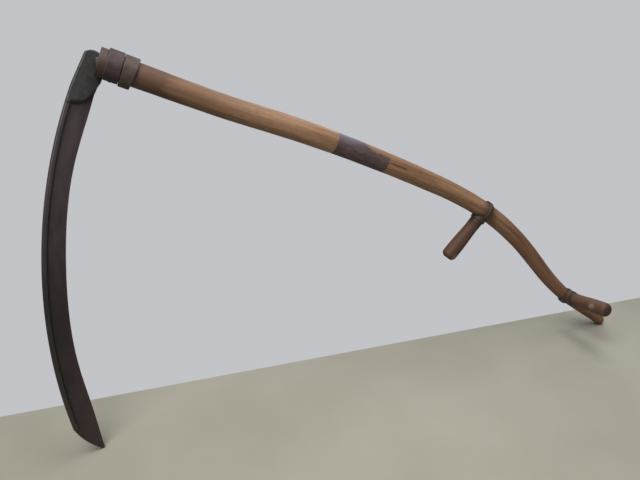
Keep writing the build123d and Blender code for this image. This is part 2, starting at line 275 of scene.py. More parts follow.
class Spline:
    """Cubic through points, by their running distance, with natural ends."""

    def __init__(self, points):
        self.points = np.asarray(points, float)
        gaps = np.linalg.norm(np.diff(self.points, axis=0), axis=1)
        self.at_points = np.concatenate([[0.0], np.cumsum(gaps)])
        self.length = self.at_points[-1]
        n = len(self.points)
        system = np.zeros((n, n))
        wanted = np.zeros_like(self.points)
        system[0, :2] = 2, 1
        system[-1, -2:] = 1, 2
        wanted[0] = 3 * (self.points[1] - self.points[0]) / gaps[0]
        wanted[-1] = 3 * (self.points[-1] - self.points[-2]) / gaps[-1]
        for i in range(1, n - 1):
            system[i, i - 1 : i + 2] = gaps[i], 2 * (gaps[i - 1] + gaps[i]), gaps[i - 1]
            before = (self.points[i] - self.points[i - 1]) / gaps[i - 1]
            after = (self.points[i + 1] - self.points[i]) / gaps[i]
            wanted[i] = 3 * (gaps[i] * before + gaps[i - 1] * after)
        self.slopes = np.linalg.solve(system, wanted)

    def __call__(self, distance):
        x = np.clip(np.atleast_1d(distance), 0, self.length)
        i = np.clip(np.searchsorted(self.at_points, x, side="right") - 1, 0, len(self.points) - 2)
        gap = (self.at_points[i + 1] - self.at_points[i])[:, None]
        t = (x - self.at_points[i])[:, None] / gap
        return (
            (2 * t**3 - 3 * t**2 + 1) * self.points[i]
            + (t**3 - 2 * t**2 + t) * gap * self.slopes[i]
            + (3 * t**2 - 2 * t**3) * self.points[i + 1]
            + (t**3 - t**2) * gap * self.slopes[i + 1]
        )

    def polyline(self, count):
        return self(np.linspace(0, self.length, count))


# --- the snath ---
def snath_centres():
    """Centres and radii of the snath in metres, felt out from inside its CAD mesh where it is bent."""
    mesh = frame["nodes"]["snath"].data
    points = [v.co.copy() for v in mesh.vertices]
    tree = BVHTree.FromPolygons(points, [tuple(p.vertices) for p in mesh.polygons])
    step = 0.012
    cosines, sines = full_circle(48)
    centres = [run_origin + run_x * x * MM for x in np.arange(0, STRAIGHT_RUN, step / MM)]
    radii = [WOOD_RADIUS * MM] * len(centres)
    here, heading = run_origin + run_x * STRAIGHT_RUN * MM, run_x.copy()
    while True:
        for _ in range(3):
            side = heading.cross(Vector((0, -1, 0))).normalized()
            other = heading.cross(side)
            hits = [tree.ray_cast(here, side * c + other * s)[0] for c, s in zip(cosines, sines)]
            # The mean of the hits lies halfway from here to the middle of the wood.
            here = here + (sum(hits, Vector()) / len(hits) - here) * 2
            heading = (here - centres[-1]).normalized()
        centres.append(here.copy())
        radii.append(float(np.mean([(hit - here).length for hit in hits])))
        end = tree.ray_cast(here, heading)[0]
        if (end - here).length < END_RADIUS * MM + step * 1.5:
            centres.append(end - heading * END_RADIUS * MM)
            radii.append(END_RADIUS * MM)
            return centres, radii
        here = here + heading * step


def snath_stations(line, radii):
    """Centre, direction, radius and distance from the heel end of each ring along the snath."""
    along = np.concatenate([[0.0, 0.7, END_CHAMFER], np.arange(3.3, line.length, 1.8), [line.length]])
    middles = line(along)
    fine = np.linspace(0, line.length, 2000)
    slopes = np.gradient(line(fine), axis=0)
    tangents = np.array([np.interp(along, fine, slope) for slope in slopes.T]).T
    tangents /= np.linalg.norm(tangents, axis=1)[:, None]
    rings = np.interp(along, line.at_points, radii)
    rings -= END_CHAMFER * (1 - smoothstep(0, END_CHAMFER, along))
    # The dome at the hand end.
    lift = np.radians(np.arange(6, 90, 7))
    beyond = END_RADIUS * np.sin(lift)
    middles = np.vstack([middles, middles[-1] + tangents[-1] * beyond[:, None]])
    tangents = np.vstack([tangents, np.tile(tangents[-1], (len(lift), 1))])
    rings = np.concatenate([rings, END_RADIUS * np.cos(lift)])
    along = np.concatenate([along, line.length + beyond])
    return zip(middles, tangents, rings, along)


def hewn_wood(angles, s):
    """Height of waves and fibres, most of them cut below the round, at this distance along the snath."""
    spots = np.stack([np.full(len(angles), s * 0.02), np.cos(angles) * 0.9, np.sin(angles) * 0.9], 1)
    waves = wobble(spots, 1.0, 3) * 0.35 + wobble(spots, (4.0, 2.5, 2.5), 7) * 0.10
    return waves - 0.30 + wobble(spots, (2.0, 26.0, 26.0), 11) * 0.07


def knotted(surface, radius, angles, s):
    """The surface with the knots and dents that reach this distance along the snath."""
    for place, angle, size, height in KNOTS:
        aside = radius * ((angles - angle + math.pi) % math.tau - math.pi)
        far = np.hypot((s - place) / (1.9 * size), aside / size)
        surface = surface + height * np.exp(-far * far) * np.cos(2.2 * far)
    return surface


def snath_dirt_and_shade(angles, s, nib_places):
    """Dirt by the irons and round the loops, and painted shade under the snath, from 0 to 1."""
    darkening = 1.35 * (1 - smoothstep(60, 185, s))
    for place in nib_places:
        darkening += 0.95 * bell(s, place, 30)
    # Painted shade: the underside of the snath is darkened as if lit from above.
    under = smoothstep(0.1, 0.95, np.sin(angles))
    return np.clip(darkening + 0.35 * under, 0, 1)[:, None]


def make_snath():
    centres, radii = snath_centres()
    line = Spline(np.array(centres) / MM)
    finely = np.linspace(0, line.length, 3000)
    nib_places = [finely[nearest(line(finely), np.array(m.translation) / MM)] for m in NIBS.values()]
    around = 72
    angles = np.arange(around) * math.tau / around
    normal = np.array(run_z)
    rings, grain, dirt_and_shade = [], [], []
    for middle, tangent, radius, s in snath_stations(line, np.array(radii) / MM):
        normal = unit_vector(normal - tangent * normal.dot(tangent))
        across = np.cross(tangent, normal)
        # Smooth under the irons and on the dome.
        hewn = smoothstep(76, 120, s) * (1 - smoothstep(line.length - 30, line.length, s))
        surface = knotted(radius - 0.12 + hewn_wood(angles, s) * hewn, radius, angles, s)
        unbent = surface * np.cos(angles), surface * np.sin(angles)
        unit = np.cos(angles)[:, None] * normal + np.sin(angles)[:, None] * across
        ring = middle + unit * surface[:, None]
        if s < SEAT_LENGTH:
            local = moved(RUN.inverted(), ring * MM)
            local[:, 2] = np.maximum(local[:, 2], -SEAT_DEPTH)
            ring = moved(RUN, local) / MM
        rings.append(ring)
        grain.append(np.stack([np.full(around, s), *unbent], 1) * MM)
        dirt_and_shade.append(snath_dirt_and_shade(angles, s, nib_places))
    return tube("snath_wood", Matrix.Scale(MM, 4), rings, {"grain": grain, "dirt_and_shade": dirt_and_shade})


# --- the blade ---
def arc(a, b, c, shares):
    """Points on the arc from a to c through b, and its directions there."""
    a, b, c = (np.array(p, float) for p in (a, b, c))
    chords = np.array([b - a, c - a])
    middle = a + np.linalg.solve(2 * chords, (chords**2).sum(1))
    start, via, end = (math.atan2(*(p - middle)[::-1]) for p in (a, b, c))
    sweep = (end - start) % math.tau
    if (via - start) % math.tau > sweep:
        sweep -= math.tau
    angles = start + sweep * np.asarray(shares)
    radius = np.linalg.norm(a - middle)
    points = middle + radius * np.stack([np.cos(angles), np.sin(angles)], 1)
    tangents = np.sign(sweep) * np.stack([-np.sin(angles), np.cos(angles)], 1)
    return points, tangents


def blade_edge():
    """The cutting edge from the heel to the tip, as a fine polyline."""
    shares, widths = np.array(EDGE_WIDTHS).T
    at, tangent = arc(BACK_START, BACK_MIDDLE, BACK_END, shares)
    inner = at + np.stack([-tangent[:, 1], tangent[:, 0]], 1) * widths[:, None]
    return Spline([TIP, *inner[::-1], HEEL_SHOULDER]).polyline(4000)[::-1]


def meet(line, point, tangent):
    """Where the line square to this tangent, through this point, crosses a polyline 20 to 80 mm away."""
    ahead = (line - point) @ tangent
    side = (line - point) @ np.array([-tangent[1], tangent[0]])
    ahead = np.where((side > 20) & (side < 80), ahead, 1e9)
    return line[np.argmin(np.abs(ahead))]


def blade_stations():
    """Lines across the blade: back point, edge point, distance along the back, how far the rib stands."""
    edge_line = blade_edge()
    back_points, back_tangents = arc(BACK_START, BACK_MIDDLE, BACK_END, np.linspace(0, 1, 440))
    edge_points = [meet(edge_line, p, t) for p, t in zip(back_points, back_tangents)]
    arc_length = float(np.linalg.norm(np.diff(back_points, axis=0), axis=1).sum())
    heel_edge = Spline([HEEL_TOP, HEEL_SHOULDER, edge_points[0]])
    stations = []
    for share in np.concatenate([[0, 0.008, 0.02], np.linspace(0.045, 1, 36)[:-1]]):
        front = heel_edge(share * heel_edge.length)[0]
        stations.append((np.array(BACK_START) * share, front, HEEL_RUN * share, 1.0))
    for k, (back, front) in enumerate(zip(back_points, edge_points)):
        share = k / (len(back_points) - 1)
        stations.append((back, front, HEEL_RUN + share * arc_length, 1.0))
    return stations + end_stations(edge_line, edge_points[-1], HEEL_RUN + arc_length)


def end_stations(edge_line, last_front, start):
    """Lines across the clipped end, whose back points go along the clip, then round the tip."""
    tip, corner = np.array(TIP), np.array(BACK_END)
    bulge = (corner + tip) / 2 + np.array([CLIP[1], -CLIP[0]]) / math.hypot(*CLIP) * CLIP_BULGE
    clip_line, clip_tangents = arc(corner, bulge, tip, np.linspace(0, 1, 200))
    edge_direction = unit_vector(edge_line[-1] - edge_line[-12])
    inward = unit_vector(-(edge_direction + clip_tangents[-1]))
    half = math.acos(abs(float(inward.dot(clip_tangents[-1]))))
    centre = tip + inward * TIP_RADIUS / math.sin(half)
    clip_end, edge_end = nearest(clip_line, centre), nearest(edge_line, centre)
    edge_start = nearest(edge_line, last_front)
    stations = []
    for share in np.linspace(0, 1, 44)[1:]:
        back = clip_line[int(round(share * clip_end))]
        front = edge_line[int(round(edge_start + share * (edge_end - edge_start)))]
        stations.append((back, front, start + CLIP_RUN * share, 1 - smoothstep(0, 0.12, share)))
    across = np.array([-inward[1], inward[0]])
    across *= np.sign(across.dot(stations[-1][1] - stations[-1][0]))
    for angle in half + (math.radians(85) - half) * np.linspace(0, 1, 9)[1:]:
        ahead, aside = TIP_RADIUS * math.sin(angle), TIP_RADIUS * math.cos(angle)
        middle = centre - inward * ahead
        stations.append((middle - across * aside, middle + across * aside, start + CLIP_RUN + ahead, 0.0))
    return stations


def across_blade(width):
    """Distances from the back of the points across the blade, closer together at the rib and the edge."""
    squeeze = min(1.0, width / 34)
    rib = np.array([0, 0.3, 0.75, 1.4, 2.4, 3.7, 5.0, 5.9, 6.5, 6.95, 7.25, 7.5]) * squeeze
    groove = np.array([7.9, 8.5, 9.4, 10.6, 12.2]) * squeeze
    edge = width - np.array([2.6, 1.8, 1.1, 0.55, 0.2, 0]) * squeeze
    web = groove[-1] + (edge[0] - groove[-1]) * np.linspace(0, 1, 19)[1:-1]
    return np.concatenate([rib, groove, web, edge])


def step_distance(places, step_points):
    """Signed distance from the heel pad's step: positive on the heel's side."""
    gaps = places[:, None, :] - step_points[None]
    at = np.argmin((gaps**2).sum(-1), axis=1)
    gap = gaps[np.arange(len(places)), at]
    heading = np.gradient(step_points, axis=0)[at]
    side = heading[:, 0] * gap[:, 1] - heading[:, 1] * gap[:, 0]
    return np.sign(side) * np.sqrt((gap**2).sum(-1))


def blade_heights(d, s, width, rib_stands, pad):
    """Heights of the top and the underside, and the share of the rib, at distances d from the back."""
    spots = np.stack([np.full(len(d), s), d, np.zeros(len(d))], 1)
    share = np.clip((d - 12) / max(width - 12, 1), 0, 1)
    beaten = wobble(spots, 0.045, 5) * 0.16 + wobble(spots, 0.16, 9) * 0.06
    pits = -0.22 * np.maximum(0, wobble(spots, 0.42, 21) - 0.42) / 0.58
    thinned = 1.15 * smoothstep(0.5, 1, share) + 0.28 * np.sin(math.pi * share)
    web = -HEEL_THICKNESS + WEB_THICKNESS - 0.12 - thinned + beaten + pits
    groove = -0.75 * bell(d, 8.9, 1.7) * rib_stands
    rib_top = -0.10 - 0.45 * (1 - np.clip(d, 0, 1)) ** 2 - 0.55 * smoothstep(5.6, 7.0, d) + beaten * 0.5
    rib_top = web + (rib_top - web) * rib_fade(s)
    on_rib = (1 - smoothstep(6.85, 7.6, d)) * rib_stands
    top = (web + groove) * (1 - on_rib) + rib_top * on_rib
    rim = 0.9 * (1 - np.clip((width - d) / 1.3, 0, 1)) ** 2 + 0.35 * (1 - np.clip(d / 0.9, 0, 1)) ** 2
    heel_top = -0.15 - rim + beaten * 1.6 + pits
    heel_end = 1 - smoothstep(0, 1.2, s)
    top = np.minimum(top * (1 - pad) + heel_top * pad, -0.02) - heel_end
    under = -HEEL_THICKNESS + 0.03 + 0.35 * smoothstep(0.5, 1, share) * (1 - pad) + 0.05 * (beaten + 0.2)
    low_rim = 0.6 * (1 - np.clip(d / 0.8, 0, 1)) + 0.6 * pad * (1 - np.clip((width - d) / 0.8, 0, 1))
    under = np.minimum(under + low_rim + 0.6 * heel_end, top - 0.35)
    return top, under, on_rib


def rib_fade(s):
    """The rib gets lower towards the tip."""
    return 1 - 0.45 * smoothstep(640, 760, s)


def blade_wear(d, width, signed, pad, on_rib):
    """How far the top is rubbed bright: on the rib, the edge, the step's brow and the pad's rim."""
    rub = on_rib * (0.30 + 0.25 * bell(d, 3.4, 1.8)) * (1 - pad)
    rub = np.maximum(rub, 0.75 * bell(d, width, 0.9) * (1 - pad))
    rub = np.maximum(rub, 0.45 * bell(signed, 1.6, 1.1))
    return np.maximum(rub, 0.25 * bell(d, width - 1.2, 0.9) * pad)


def make_blade():
    step_points = Spline(PAD_STEP).polyline(300)
    rings = []
    marks = {"grain": [], "wear": [], "crease_shade": [], "heel": []}
    for back, front, s, rib_stands in blade_stations():
        width = float(np.linalg.norm(front - back))
        d = across_blade(width)
        nick = 0.35 * max(0.0, noise.noise(Vector((s * 0.11, 3.7, 0))) - 0.15)
        d[-1] -= nick * min(1, width / 20)
        xy = back + (front - back) / width * d[:, None]
        if s < 34:
            bulge = HEEL_BULGE * 4 * d / width * (1 - d / width) * (1 - s / 34) ** 2
            xy = xy + np.array([-1.0, -0.1]) * bulge[:, None]
        signed = step_distance(xy, step_points)
        pad = smoothstep(-2.6, 1.2, signed)
        top, under, on_rib = blade_heights(d, s, width, rib_stands, pad)
        rings.append(np.vstack([np.column_stack([xy, top]), np.column_stack([xy, under])[::-1]]))
        round_blade = np.concatenate([d, d[::-1]]), np.concatenate([top, under[::-1]])
        marks["grain"].append(np.stack([np.full(2 * len(d), s), *round_blade], 1) * MM)
        # Painted shade along the rib's groove and just below the heel pad's step.
        dark = bell(d, 9.3, 2.2) * rib_stands * (1 - pad) * rib_fade(s)
        dark = np.maximum(dark, bell(signed, -3.0, 1.8))
        clean = np.zeros(len(d))
        marks["wear"].append(np.concatenate([blade_wear(d, width, signed, pad, on_rib), clean])[:, None])
        marks["crease_shade"].append(np.concatenate([dark, clean])[:, None])
        marks["heel"].append(np.concatenate([pad, pad[::-1]])[:, None])
    piece = tube("blade_forged", BLADE, rings, marks)
    join_solid(piece, make_tang())
    return piece


def rounded_rectangle(width, height, radius, steps=4):
    points = []
    for corner, (sx, sy) in enumerate(((1, 1), (-1, 1), (-1, -1), (1, -1))):
        x, y = sx * (width / 2 - radius), sy * (height / 2 - radius)
        for k in range(steps + 1):
            angle = math.pi / 2 * (corner + k / steps)
            points.append((x + radius * math.cos(angle), y + radius * math.sin(angle)))
    return np.array(points)


def make_tang():
    """The forged tang, from its blunt end under the ring to its root inside the blade's heel."""
    width, thickness = TANG
    middle = -(SEAT_DEPTH + PLATE_THICKNESS + TANG_FIT + thickness / 2)
    bar = rounded_rectangle(width, thickness, TANG_CORNER)
    across, up = rounded_rectangle(*TANG_ROOT, TANG_CORNER).T
    along, inward = TANG_ROOT_PLACE
    root = np.column_stack([along - across, np.full(len(across), inward), up - HEEL_THICKNESS / 2])
    root = moved(RUN.inverted() @ BLADE, root)
    start, end = TANG_ENDS
    places = [(end, 0.82), (end - 0.6, 0.95), (end - 1.5, 1.0)]  # the blunt end is rounded off
    places += [(x, 1.0) for x in np.linspace(end - 4, start, 24)]
    rings = []
    for x, share in places:
        rings.append(np.column_stack([np.full(len(bar), x), bar[:, 0] * share, middle + bar[:, 1] * share]))
    last = rings[-1]
    rings += [last * (1 - share) + root * share for share in np.linspace(0, 1, 18)[1:]]
    rings = np.array(rings)
    none = np.zeros_like(rings[:, :, :1])
    marks = {"grain": rings * MM, "wear": none + 0.2, "crease_shade": none, "heel": none + 1}
    return tube("tang", RUN, rings, marks)


# --- forged and cast irons ---
def forged(node, name, voxel, seed, smooth=5, rough=0.10, wedge=0.0):
    """A CAD iron with its corners worn round and its skin pitted, drawn at this voxel size in millimetres.

    A wedge takes this much off the lower side of its end face, along the snath.
    """
    piece = new_object(name, frame["nodes"][node].data.copy())
    piece.data.materials.clear()
    remesh = piece.modifiers.new("skin", "REMESH")
    remesh.mode = "VOXEL"
    remesh.voxel_size = voxel * MM
    ease = piece.modifiers.new("ease", "SMOOTH")
    ease.iterations = smooth
    settle(piece)
    mesh = piece.data
    points, normals = read_vectors(mesh, "co"), read_vectors(mesh, "normal")
    bend = curvature(mesh, points, normals)
    spots = points / MM
    lumps = wobble(spots, 0.10, seed) * rough + wobble(spots, 0.33, seed + 1) * rough * 0.6
    hollows = np.maximum(0, wobble(spots, 0.55, seed + 2) - 0.3) * PIT_DEPTH
    points = points + normals * ((lumps - rough - hollows) * MM)[:, None]
    local = moved(RUN.inverted(), points)
    if wedge:
        start, length, across = local[:, 0].min(), np.ptp(local[:, 0]), np.ptp(local[:, 1])
        low = smoothstep(0.1, 1.0, 0.5 - local[:, 1] / across)
        local[:, 0] -= wedge * low * (local[:, 0] - start) / length
        points = moved(RUN, local)
    mesh.vertices.foreach_set("co", points.ravel())
    mesh.update()
    # Convex corners carry wear; concave creases carry painted shade.
    corners, crease_shades = np.clip(bend, 0, 1), np.clip(-bend, 0, 1)
    set_attributes(mesh, {"wear": corners, "crease_shade": crease_shades, "along": local[:, 0] * MM})
    return piece


def curvature(mesh, points, normals):
    """How far each point stands out from its neighbours, widened a little: 1 on a sharp corner."""
    edges = np.zeros(len(mesh.edges) * 2, np.int64)
    mesh.edges.foreach_get("vertices", edges)
    edges = edges.reshape(-1, 2)
    degree = np.bincount(edges.ravel(), minlength=len(points))[:, None]
    value = ((points - neighbour_mean(points, edges, degree)) * normals).sum(1)
    for _ in range(3):
        value = 0.5 * value + 0.5 * neighbour_mean(value[:, None], edges, degree)[:, 0]
    return value / (np.percentile(np.abs(value), 97) + 1e-12)


def neighbour_mean(values, edges, degree):
    total = np.zeros_like(values)
    np.add.at(total, edges[:, 0], values[edges[:, 1]])
    np.add.at(total, edges[:, 1], values[edges[:, 0]])
    return total / degree


# --- grips ---
def grip_outline():
    """Radius and height above the foot: from the bore's end down to the foot, then up the outside."""
    base, waist, swell = GRIP_RADII
    length, shoulder = GRIP_LENGTH, BAND_LENGTH + 0.08
    neck = base - BAND_WALL - 0.05
    widening = (0.5 * (waist + swell) + 0.6, 0.6 * length)
    side = Spline([(base, BAND_LENGTH + 0.1), (waist, 0.28 * length), widening, (swell, length - GRIP_END)])
    outline = [(0.5, BORE_DEPTH), (BORE_RADIUS, BORE_DEPTH), (BORE_RADIUS, POCKET_DEPTH + 0.05)]
    outline += [(POCKET_RADIUS, POCKET_DEPTH), (POCKET_RADIUS, 0.1)]
    outline += [(neck, 0.1), (neck, BAND_LENGTH / 2), (neck, BAND_LENGTH + 0.05), (base - 0.5, shoulder)]
    outline += [(radius, max(height, shoulder + 0.04)) for radius, height in side.polyline(70)[1:]]
    for angle in np.radians(np.arange(6, 90, 6)):
        round_in, round_up = GRIP_END * math.cos(angle), GRIP_END * math.sin(angle)
        outline.append((swell - GRIP_END + round_in, length - GRIP_END + round_up))
    return outline + [(swell - GRIP_END - 2, length - 0.12), (2.0, length - 0.35), (0.6, length - 0.4)]


def make_grip(nib, seed):
    cad_points = read_vectors(frame["nodes"][f"{nib}_nib_grip"].data, "co")
    foot = float(moved(NIBS[nib].inverted(), cad_points)[:, 2].min())
    around = 80
    cosines, sines = full_circle(around)
    rings, grain, dirt_and_shade = [], [], []
    for radius, height in grip_outline():
        spots = np.stack([cosines * 0.9, sines * 0.9, np.full(around, height * 0.03)], 1)
        dents = wobble(spots, 1.0, seed) * 0.30 + wobble(spots, (3.0, 3.0, 6.0), seed + 2) * 0.10
        held = smoothstep(8, 16, height) * smoothstep(2, 8, radius)
        surface = radius - 0.05 + (dents - 0.38) * held
        section = surface * cosines, surface * sines
        rings.append(np.stack([*section, np.full(around, foot + height)], 1))
        grain.append(np.stack([np.full(around, height), *section], 1) * MM)
        darkening = 0.6 * (1 - smoothstep(8, 34, height))
        # Painted shade: the rounded end of the grip is darkened.
        darkening += 0.75 * smoothstep(GRIP_LENGTH - 7, GRIP_LENGTH - 1, height)
        dirt_and_shade.append(np.full((around, 1), float(np.clip(darkening, 0, 1))))
    return tube(f"{nib}_nib_grip_wood", NIBS[nib], rings, {"grain": grain, "dirt_and_shade": dirt_and_shade})


# --- materials ---
class Nodes:
    """A material's node tree, built with short calls."""

    def __init__(self, name):
        self.material = bpy.data.materials.new(name)
        self.material.use_nodes = True
        self.tree = self.material.node_tree
        self.tree.nodes.clear()
        self.shader = self.add("ShaderNodeBsdfPrincipled")
        out = self.add("ShaderNodeOutputMaterial")
        self.tree.links.new(self.shader.outputs[0], out.inputs["Surface"])

    def add(self, kind, **settings):
        node = self.tree.nodes.new(kind)
        for key, value in settings.items():
            setattr(node, key, value)
        return node

    def put(self, socket, value):
        if isinstance(value, bpy.types.NodeSocket):
            self.tree.links.new(value, socket)
        else:
            socket.default_value = value

    def fill(self, node, **values):
        """Puts each value in the input of that name, which has spaces for the underscores."""
        for name, value in values.items():
            self.put(node.inputs[name.replace("_", " ")], value)
        return node

    def attribute(self, name, output="Fac"):
        return self.add("ShaderNodeAttribute", attribute_name=name).outputs[output]

    def place(self):
        return self.add("ShaderNodeTexCoord").outputs["Object"]

    def axes(self, vector):
        node = self.add("ShaderNodeSeparateXYZ")
        self.put(node.inputs[0], vector)
        return tuple(node.outputs)

    def scaled(self, vector, scale, location=(0, 0, 0)):
        node = self.fill(self.add("ShaderNodeMapping"), Vector=vector, Scale=scale, Location=location)
        return node.outputs[0]

    def noise(self, vector, scale, detail=4.0, roughness=0.55, distortion=0.0):
        """Noise at one scale, or at one for each axis of the vector."""
        if isinstance(scale, tuple):
            vector, scale = self.scaled(vector, scale), 1.0
        node = self.fill(self.add("ShaderNodeTexNoise"), Vector=vector, Scale=scale, Detail=detail)
        self.fill(node, Roughness=roughness, Distortion=distortion)
        return node.outputs["Fac"]

    def math(self, operation, a, b=0.0, clamp=False):
        node = self.add("ShaderNodeMath", operation=operation, use_clamp=clamp)
        self.put(node.inputs[0], a)
        self.put(node.inputs[1], b)
        return node.outputs[0]

    def plus(self, a, b, clamp=False):
        return self.math("ADD", a, b, clamp)

    def minus(self, a, b):
        return self.math("SUBTRACT", a, b)

    def times(self, a, b):
        return self.math("MULTIPLY", a, b)

    def uneven(self, value, pattern, amount):
        """The value, moved up and down by this much of a pattern that lies around a half."""
        return self.plus(value, self.times(self.minus(pattern, 0.5), amount))

    def after(self, value, low, high):
        """0 below low, 1 above high, eased between."""
        node = self.add("ShaderNodeMapRange", interpolation_type="SMOOTHSTEP")
        return self.fill(node, Value=value, From_Min=low, From_Max=high).outputs[0]

    def before(self, value, low, high):
        """1 below low, 0 above high, eased between."""
        return self.minus(1.0, self.after(value, low, high))

    def ramp(self, value, *stops):
        node = self.add("ShaderNodeValToRGB")
        self.put(node.inputs[0], value)
        elements = node.color_ramp.elements
        while len(elements) < len(stops):
            elements.new(0.5)
        for element, (position, colour) in zip(elements, stops):
            element.position = position
            element.color = (*colour, 1)
        return node.outputs[0]

    def mix(self, amount, a, b):
        node = self.add("ShaderNodeMix", data_type="RGBA", blend_type="MIX", clamp_factor=True)
        self.put(node.inputs[0], amount)
        for socket, colour in ((node.inputs[6], a), (node.inputs[7], b)):
            self.put(socket, (*colour, 1) if isinstance(colour, tuple) else colour)
        return node.outputs[2]

    def layer(self, colour, amount, strength, over):
        """The colour with another laid over it, at this strength where the amount is 1."""
        return self.mix(self.times(amount, strength), colour, over)

    def finish(self, colour, roughness, height=None, relief=0.5, metallic=0.0, specular=0.5):
        self.fill(self.shader, Base_Color=colour, Roughness=roughness)
        self.fill(self.shader, Metallic=metallic, Specular_IOR_Level=specular)
        if height is not None:
            bump = self.fill(self.add("ShaderNodeBump"), Strength=relief, Distance=BUMP_DEPTH, Height=height)
            self.fill(self.shader, Normal=bump.outputs[0])
        return self.material


def wood_grain(n, grain, ring_gap, pith):
    """Fibre, streak, drift and growth-ring patterns of turned or bent wood, from its unbent coordinates."""
    fibre = n.noise(grain, (9, 380, 380), 6, 0.68)
    streak = n.noise(grain, (2.6, 110, 110), 5, 0.6, 0.2)
    drift = n.noise(grain, (3.5, 18, 18), 3, 0.5)
    rings = n.add("ShaderNodeTexWave", wave_type="RINGS", rings_direction="X", wave_profile="SAW")
    n.fill(rings, Vector=n.scaled(grain, (0.16, 1, 1), pith), Scale=math.tau / 20 / ring_gap)
    n.fill(rings, Distortion=5.5, Detail=3, Detail_Scale=26, Detail_Roughness=0.45)
    return fibre, streak, drift, rings.outputs["Fac"]


def snath_material():
    n = Nodes("snath_wood")
    grain = n.attribute("grain", "Vector")
    along, _, down = n.axes(grain)
    fibre, streak, drift, rings = wood_grain(n, grain, 0.0034, (0, 0.013, -0.006))
    dark, mid, light = (0.27, 0.145, 0.078), (0.37, 0.215, 0.122), (0.47, 0.295, 0.18)
    colour = n.ramp(drift, (0.30, dark), (0.52, mid), (0.72, light))
    colour = n.mix(n.after(rings, 0.45, 1.0), colour, (0.20, 0.10, 0.052))
    colour = n.layer(colour, n.after(streak, 0.48, 0.68), 0.62, (0.15, 0.078, 0.042))
    colour = n.layer(colour, n.after(fibre, 0.44, 0.66), 0.55, (0.125, 0.068, 0.04))
    colour = n.layer(colour, n.before(along, 0.16, 0.46), 0.42, (0.13, 0.075, 0.045))
    # The upper part is redder and darker from hands.
    handled = n.after(n.uneven(n.after(along, 0.84, 1.12), streak, 0.9), 0.1, 0.9)
    mottled = n.plus(n.times(fibre, 0.5), n.times(drift, 0.5))
    light, mid, dark = (0.275, 0.145, 0.080), (0.185, 0.088, 0.050), (0.105, 0.048, 0.028)
    red = n.ramp(mottled, (0.36, light), (0.50, mid), (0.64, dark))
    colour = n.layer(colour, handled, 0.88, red)
    # Dirt by the irons and round the loops, and painted shade under the snath.
    patch = n.noise(grain, (22, 60, 60), 5, 0.6)
    # Dirt, with painted shade on the underside, laid over the wood.
    soiled_and_shaded = n.after(n.uneven(n.attribute("dirt_and_shade"), patch, 1.5), 0.18, 0.95)
    colour = n.layer(colour, soiled_and_shaded, 0.86, n.mix(patch, (0.070, 0.040, 0.028), (0.145, 0.078, 0.050)))
    specks = n.after(n.noise(grain, (130, 420, 420), 2, 0.5), 0.66, 0.74)
    colour = n.layer(colour, specks, 0.65, (0.035, 0.022, 0.017))
    # The painted band, and a split beside a knot just past it.
    ragged = n.noise(grain, (60, 160, 160), 6, 0.68)
    paint, paint_left = worn_paint(n, grain, along, n.math("DIVIDE", down, -0.0235), ragged)
    colour = n.mix(paint_left, colour, paint)
    off_line = n.math("ABSOLUTE", n.minus(n.uneven(down, ragged, 0.006), -0.004))
    stretch = n.times(n.after(along, 0.606, 0.614), n.before(along, 0.640, 0.662))
    split = n.times(stretch, n.before(off_line, 0.0006, 0.0026))
    colour = n.layer(colour, split, 0.85, (0.045, 0.026, 0.018))
    roughness = n.plus(n.plus(n.times(fibre, 0.25), n.times(soiled_and_shaded, 0.10)), 0.40, clamp=True)
    height = n.plus(n.times(fibre, -0.6), n.times(rings, -0.25))
    height = n.plus(height, n.times(paint_left, 0.5))
    height = n.minus(height, n.plus(split, n.times(specks, 0.6)))
    return n.finish(colour, roughness, height, relief=0.55, specular=0.26)


def worn_paint(n, grain, along, up, ragged):
    """Colour of the painted band, with a painted highlight on its top towards the heel end, and how much of it is
    left where hands have worn it through.
    """
    soft = 0.0012
    start, end = (place * MM for place in PAINTED)
    spot = n.uneven(along, ragged, 0.010)
    inside = n.times(n.after(spot, start - soft, start + soft), n.before(spot, end - soft, end + soft))
    held = n.times(n.after(along, 0.512, 0.575), n.after(up, 0.25, 0.85))
    rubbed = n.after(n.uneven(held, n.noise(grain, (28, 120, 120), 6, 0.7), 1.3), 0.42, 0.66)
    left = n.times(inside, n.minus(1.0, n.times(rubbed, 0.88)))
    paint = n.ramp(
        ragged,
        (0.34, (0.058, 0.041, 0.046)),
        (0.52, (0.096, 0.066, 0.068)),
        (0.62, (0.135, 0.078, 0.068)),
        (0.72, (0.10, 0.090, 0.110)),
    )
    # Painted sheen: a bluish-grey highlight laid on the top of the band's heel end.
    painted_sheen = n.times(n.before(along, 0.50, 0.55), n.after(up, 0.1, 0.9))
    return n.layer(paint, painted_sheen, 0.6, (0.15, 0.145, 0.185)), left


